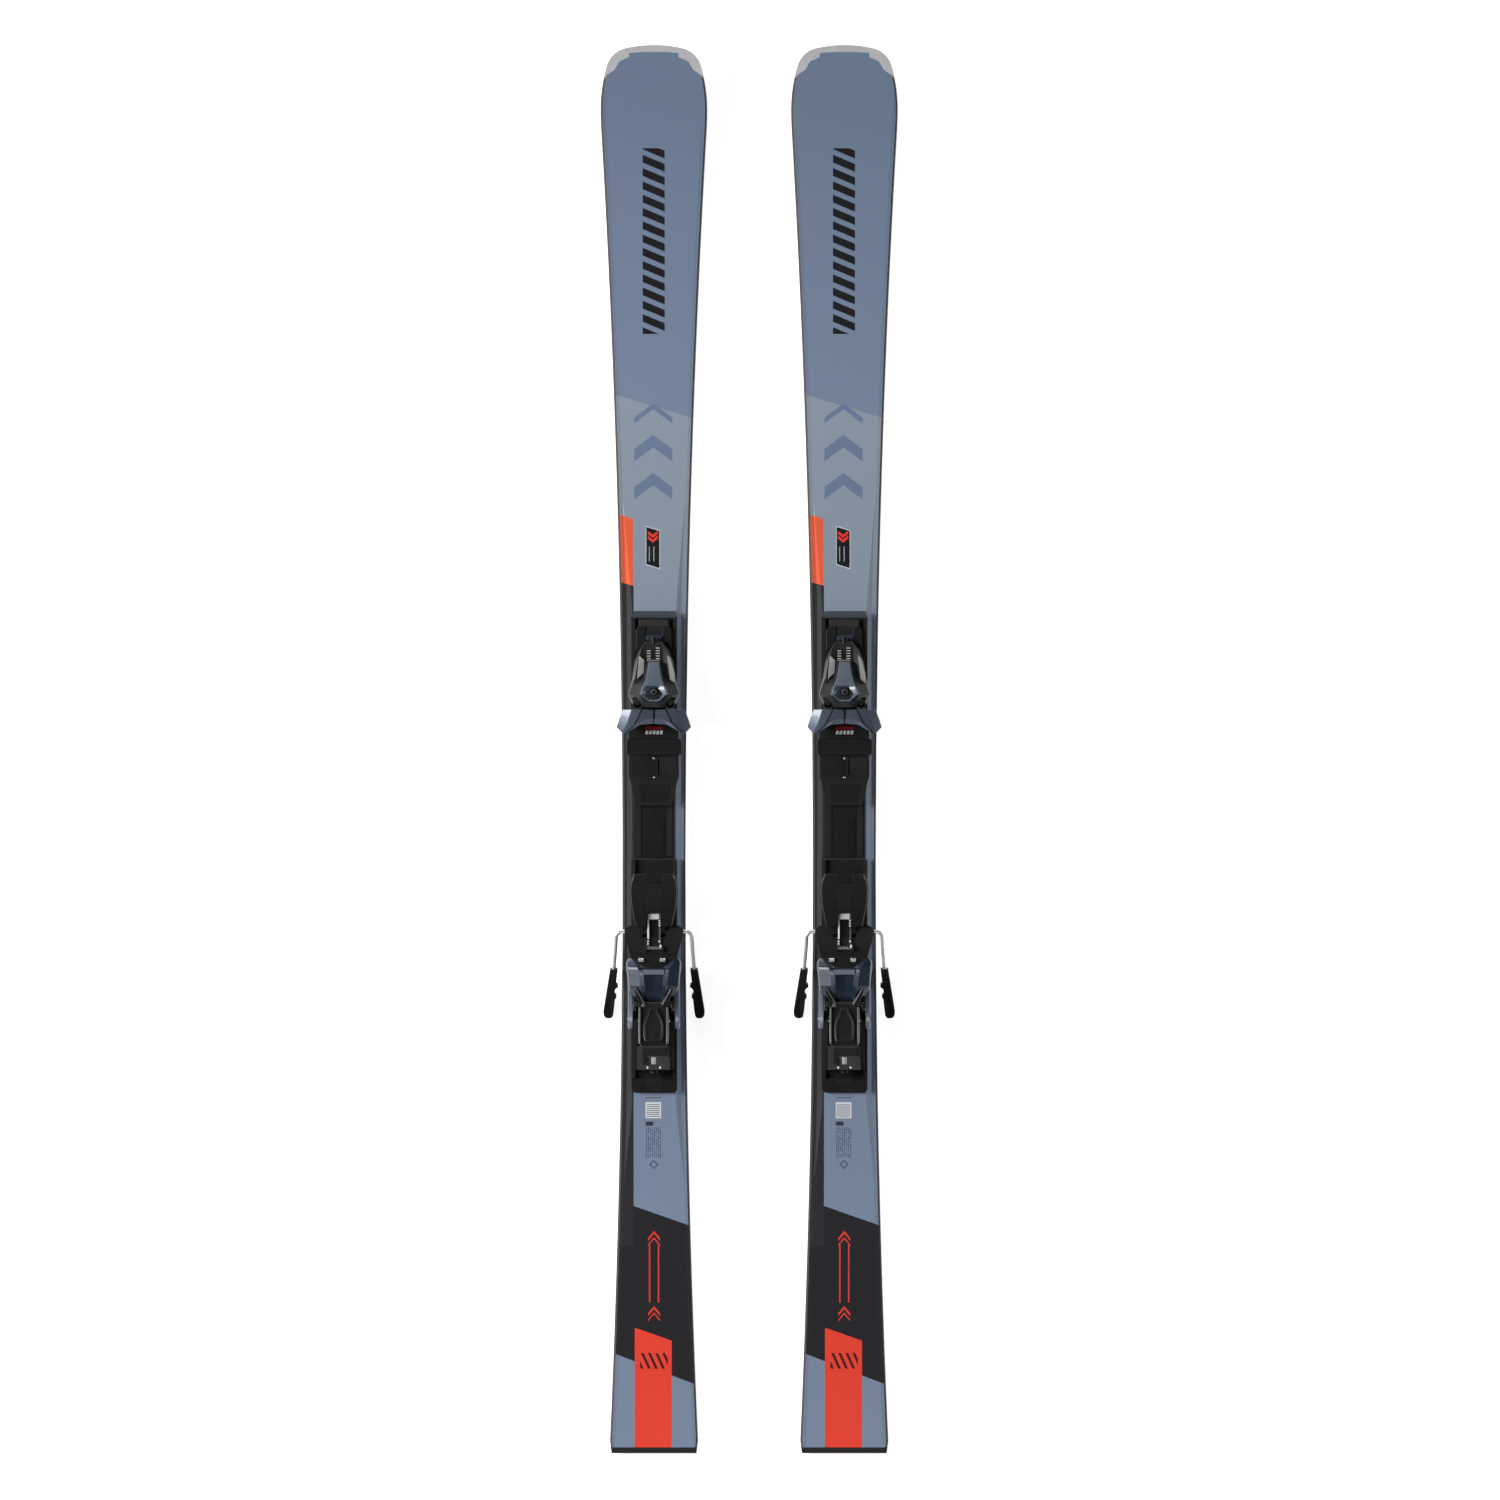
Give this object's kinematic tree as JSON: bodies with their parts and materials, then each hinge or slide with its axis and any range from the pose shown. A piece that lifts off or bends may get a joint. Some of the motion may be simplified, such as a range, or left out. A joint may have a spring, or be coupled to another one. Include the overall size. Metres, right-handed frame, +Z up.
{
  "type": "pair of alpine skis with bindings",
  "caption": "Pair of shaped alpine skis with printed top sheets, steel edges and rail-mounted step-in bindings with ski brakes.",
  "frame": {"origin": "on the floor, midway between the two skis and half way along them", "axes": "+Y along the skis to the tips, +Z up from the floor, +X to the skier's right"},
  "size_m": [0.3588, 1.7, 0.1005],
  "materials": {
    "base": "sintered running base, fine structure",
    "steel_edges": "ground steel",
    "core": "laminated wood strips",
    "sidewalls": "satin sidewall, brown-grey dashes",
    "topsheet": "printed gloss sheet, slate grey with black, orange and red fields",
    "tip_guard": "light grey moulded plastic",
    "tail_guard": "black moulded plastic",
    "tracks": "black glass-filled plastic",
    "track_cap": "dark slate-blue moulded plastic",
    "track_screws": "zinc-plated steel",
    "mid_band": "black plastic, ribbed",
    "toe_carriage": "black glass-filled plastic",
    "toe_housing": "black moulded plastic, satin",
    "toe_cover": "dark slate-blue moulded plastic",
    "toe_wing_left": "dark slate-blue moulded plastic, glossy",
    "toe_wing_right": "dark slate-blue moulded plastic, glossy",
    "toe_spring": "spring steel, black coated",
    "toe_release_screw": "steel, black oxide",
    "toe_fasteners": "polished steel heads",
    "afd_slider": "dark grey low-friction plastic",
    "heel_carriage": "black glass-filled plastic",
    "heel_housing": "dark slate-blue moulded plastic",
    "heel_lever": "black moulded plastic, satin",
    "heel_spring": "spring steel, black coated",
    "heel_release_screw": "steel, black oxide",
    "heel_axle": "steel pin",
    "length_latch": "bright formed steel",
    "brake_pedal": "black plastic, textured tread",
    "brake_wires": "spring-steel wire",
    "brake_grips": "black plastic"
  },
  "bodies": {
    "left_ski": {"left_base": "base", "left_steel_edges": "steel_edges", "left_core": "core", "left_sidewalls": "sidewalls", "left_topsheet": "topsheet", "left_tip_guard": "tip_guard", "left_tail_guard": "tail_guard", "left_tracks": "tracks", "left_track_cap": "track_cap", "left_track_screws": "track_screws", "left_mid_band": "mid_band"},
    "left_toe": {"left_toe_carriage": "toe_carriage", "left_toe_housing": "toe_housing", "left_toe_cover": "toe_cover", "left_toe_spring": "toe_spring", "left_toe_fasteners": "toe_fasteners"},
    "left_wing_left": {"left_toe_wing_left": "toe_wing_left"},
    "left_wing_right": {"left_toe_wing_right": "toe_wing_right"},
    "left_toe_screw": {"left_toe_release_screw": "toe_release_screw"},
    "left_afd": {"left_afd_slider": "afd_slider"},
    "left_heel": {"left_heel_carriage": "heel_carriage", "left_heel_spring": "heel_spring", "left_heel_axle": "heel_axle"},
    "left_heel_cup": {"left_heel_housing": "heel_housing"},
    "left_lever": {"left_heel_lever": "heel_lever"},
    "left_heel_screw": {"left_heel_release_screw": "heel_release_screw"},
    "left_latch": {"left_length_latch": "length_latch"},
    "left_brake": {"left_brake_pedal": "brake_pedal", "left_brake_wires": "brake_wires", "left_brake_grips": "brake_grips"},
    "right_ski": {"right_base": "base", "right_steel_edges": "steel_edges", "right_core": "core", "right_sidewalls": "sidewalls", "right_topsheet": "topsheet", "right_tip_guard": "tip_guard", "right_tail_guard": "tail_guard", "right_tracks": "tracks", "right_track_cap": "track_cap", "right_track_screws": "track_screws", "right_mid_band": "mid_band"},
    "right_toe": {"right_toe_carriage": "toe_carriage", "right_toe_housing": "toe_housing", "right_toe_cover": "toe_cover", "right_toe_spring": "toe_spring", "right_toe_fasteners": "toe_fasteners"},
    "right_wing_left": {"right_toe_wing_left": "toe_wing_left"},
    "right_wing_right": {"right_toe_wing_right": "toe_wing_right"},
    "right_toe_screw": {"right_toe_release_screw": "toe_release_screw"},
    "right_afd": {"right_afd_slider": "afd_slider"},
    "right_heel": {"right_heel_carriage": "heel_carriage", "right_heel_spring": "heel_spring", "right_heel_axle": "heel_axle"},
    "right_heel_cup": {"right_heel_housing": "heel_housing"},
    "right_lever": {"right_heel_lever": "heel_lever"},
    "right_heel_screw": {"right_heel_release_screw": "heel_release_screw"},
    "right_latch": {"right_length_latch": "length_latch"},
    "right_brake": {"right_brake_pedal": "brake_pedal", "right_brake_wires": "brake_wires", "right_brake_grips": "brake_grips"}
  },
  "joints": [
    {"name": "left_toe_slide", "type": "slide", "parent": "left_ski", "child": "left_toe", "axis": [0, 1, 0], "range_m": [-0.01, 0.01]},
    {"name": "left_wing_left_hinge", "type": "hinge", "parent": "left_toe", "child": "left_wing_left", "pos_m": [-0.135, 0.056, 0.066], "axis": [0, 0, -1], "range_deg": [0, 25], "stiffness_Nm_per_rad": 5},
    {"name": "left_wing_right_hinge", "type": "hinge", "parent": "left_toe", "child": "left_wing_right", "pos_m": [-0.095, 0.056, 0.066], "axis": [0, 0, 1], "range_deg": [0, 25], "stiffness_Nm_per_rad": 5},
    {"name": "left_toe_screw_turn", "type": "hinge", "parent": "left_toe", "child": "left_toe_screw", "pos_m": [-0.115, 0.134, 0.043], "axis": [0, 1, 0], "continuous": true},
    {"name": "left_afd_slide", "type": "slide", "parent": "left_toe", "child": "left_afd", "axis": [1, 0, 0], "range_m": [-0.006, 0.006], "stiffness_N_per_m": 300},
    {"name": "left_heel_slide", "type": "slide", "parent": "left_ski", "child": "left_heel", "axis": [0, 1, 0], "range_m": [-0.015, 0.015]},
    {"name": "left_heel_cup_hinge", "type": "hinge", "parent": "left_heel", "child": "left_heel_cup", "pos_m": [-0.115, -0.325, 0.05], "axis": [1, 0, 0], "range_deg": [0, 45]},
    {"name": "left_lever_hinge", "type": "hinge", "parent": "left_heel_cup", "child": "left_lever", "pos_m": [-0.115, -0.306, 0.083], "axis": [1, 0, 0], "range_deg": [-20.25, 0]},
    {"name": "left_heel_screw_turn", "type": "hinge", "parent": "left_heel", "child": "left_heel_screw", "pos_m": [-0.115, -0.388, 0.046], "axis": [0, -1, 0], "continuous": true},
    {"name": "left_latch_hinge", "type": "hinge", "parent": "left_heel", "child": "left_latch", "pos_m": [-0.115, -0.24, 0.041], "axis": [1, 0, 0], "range_deg": [0, 60]},
    {"name": "left_brake_hinge", "type": "hinge", "parent": "left_heel", "child": "left_brake", "pos_m": [-0.115, -0.219, 0.0352], "axis": [-1, 0, 0], "range_deg": [-38, 16.1], "stiffness_Nm_per_rad": 0.2, "springref_deg": -37.82},
    {"name": "right_toe_slide", "type": "slide", "parent": "right_ski", "child": "right_toe", "axis": [0, 1, 0], "range_m": [-0.01, 0.01]},
    {"name": "right_wing_left_hinge", "type": "hinge", "parent": "right_toe", "child": "right_wing_left", "pos_m": [0.095, 0.056, 0.066], "axis": [0, 0, -1], "range_deg": [0, 25], "stiffness_Nm_per_rad": 5},
    {"name": "right_wing_right_hinge", "type": "hinge", "parent": "right_toe", "child": "right_wing_right", "pos_m": [0.135, 0.056, 0.066], "axis": [0, 0, 1], "range_deg": [0, 25], "stiffness_Nm_per_rad": 5},
    {"name": "right_toe_screw_turn", "type": "hinge", "parent": "right_toe", "child": "right_toe_screw", "pos_m": [0.115, 0.134, 0.043], "axis": [0, 1, 0], "continuous": true},
    {"name": "right_afd_slide", "type": "slide", "parent": "right_toe", "child": "right_afd", "axis": [1, 0, 0], "range_m": [-0.006, 0.006], "stiffness_N_per_m": 300},
    {"name": "right_heel_slide", "type": "slide", "parent": "right_ski", "child": "right_heel", "axis": [0, 1, 0], "range_m": [-0.015, 0.015]},
    {"name": "right_heel_cup_hinge", "type": "hinge", "parent": "right_heel", "child": "right_heel_cup", "pos_m": [0.115, -0.325, 0.05], "axis": [1, 0, 0], "range_deg": [0, 45]},
    {"name": "right_lever_hinge", "type": "hinge", "parent": "right_heel_cup", "child": "right_lever", "pos_m": [0.115, -0.306, 0.083], "axis": [1, 0, 0], "range_deg": [-20.25, 0]},
    {"name": "right_heel_screw_turn", "type": "hinge", "parent": "right_heel", "child": "right_heel_screw", "pos_m": [0.115, -0.388, 0.046], "axis": [0, -1, 0], "continuous": true},
    {"name": "right_latch_hinge", "type": "hinge", "parent": "right_heel", "child": "right_latch", "pos_m": [0.115, -0.24, 0.041], "axis": [1, 0, 0], "range_deg": [0, 60]},
    {"name": "right_brake_hinge", "type": "hinge", "parent": "right_heel", "child": "right_brake", "pos_m": [0.115, -0.219, 0.0352], "axis": [-1, 0, 0], "range_deg": [-38, 16.1], "stiffness_Nm_per_rad": 0.2, "springref_deg": -37.82},
    {"name": "right_ski_lift", "type": "slide", "parent": "left_ski", "child": "right_ski", "axis": [0, 0, 1], "range_m": [0, 0.3]}
  ],
  "couplings": [
    {"joint": "left_lever_hinge", "follows": "left_heel_cup_hinge", "ratio": -0.45},
    {"joint": "right_lever_hinge", "follows": "right_heel_cup_hinge", "ratio": -0.45}
  ]
}
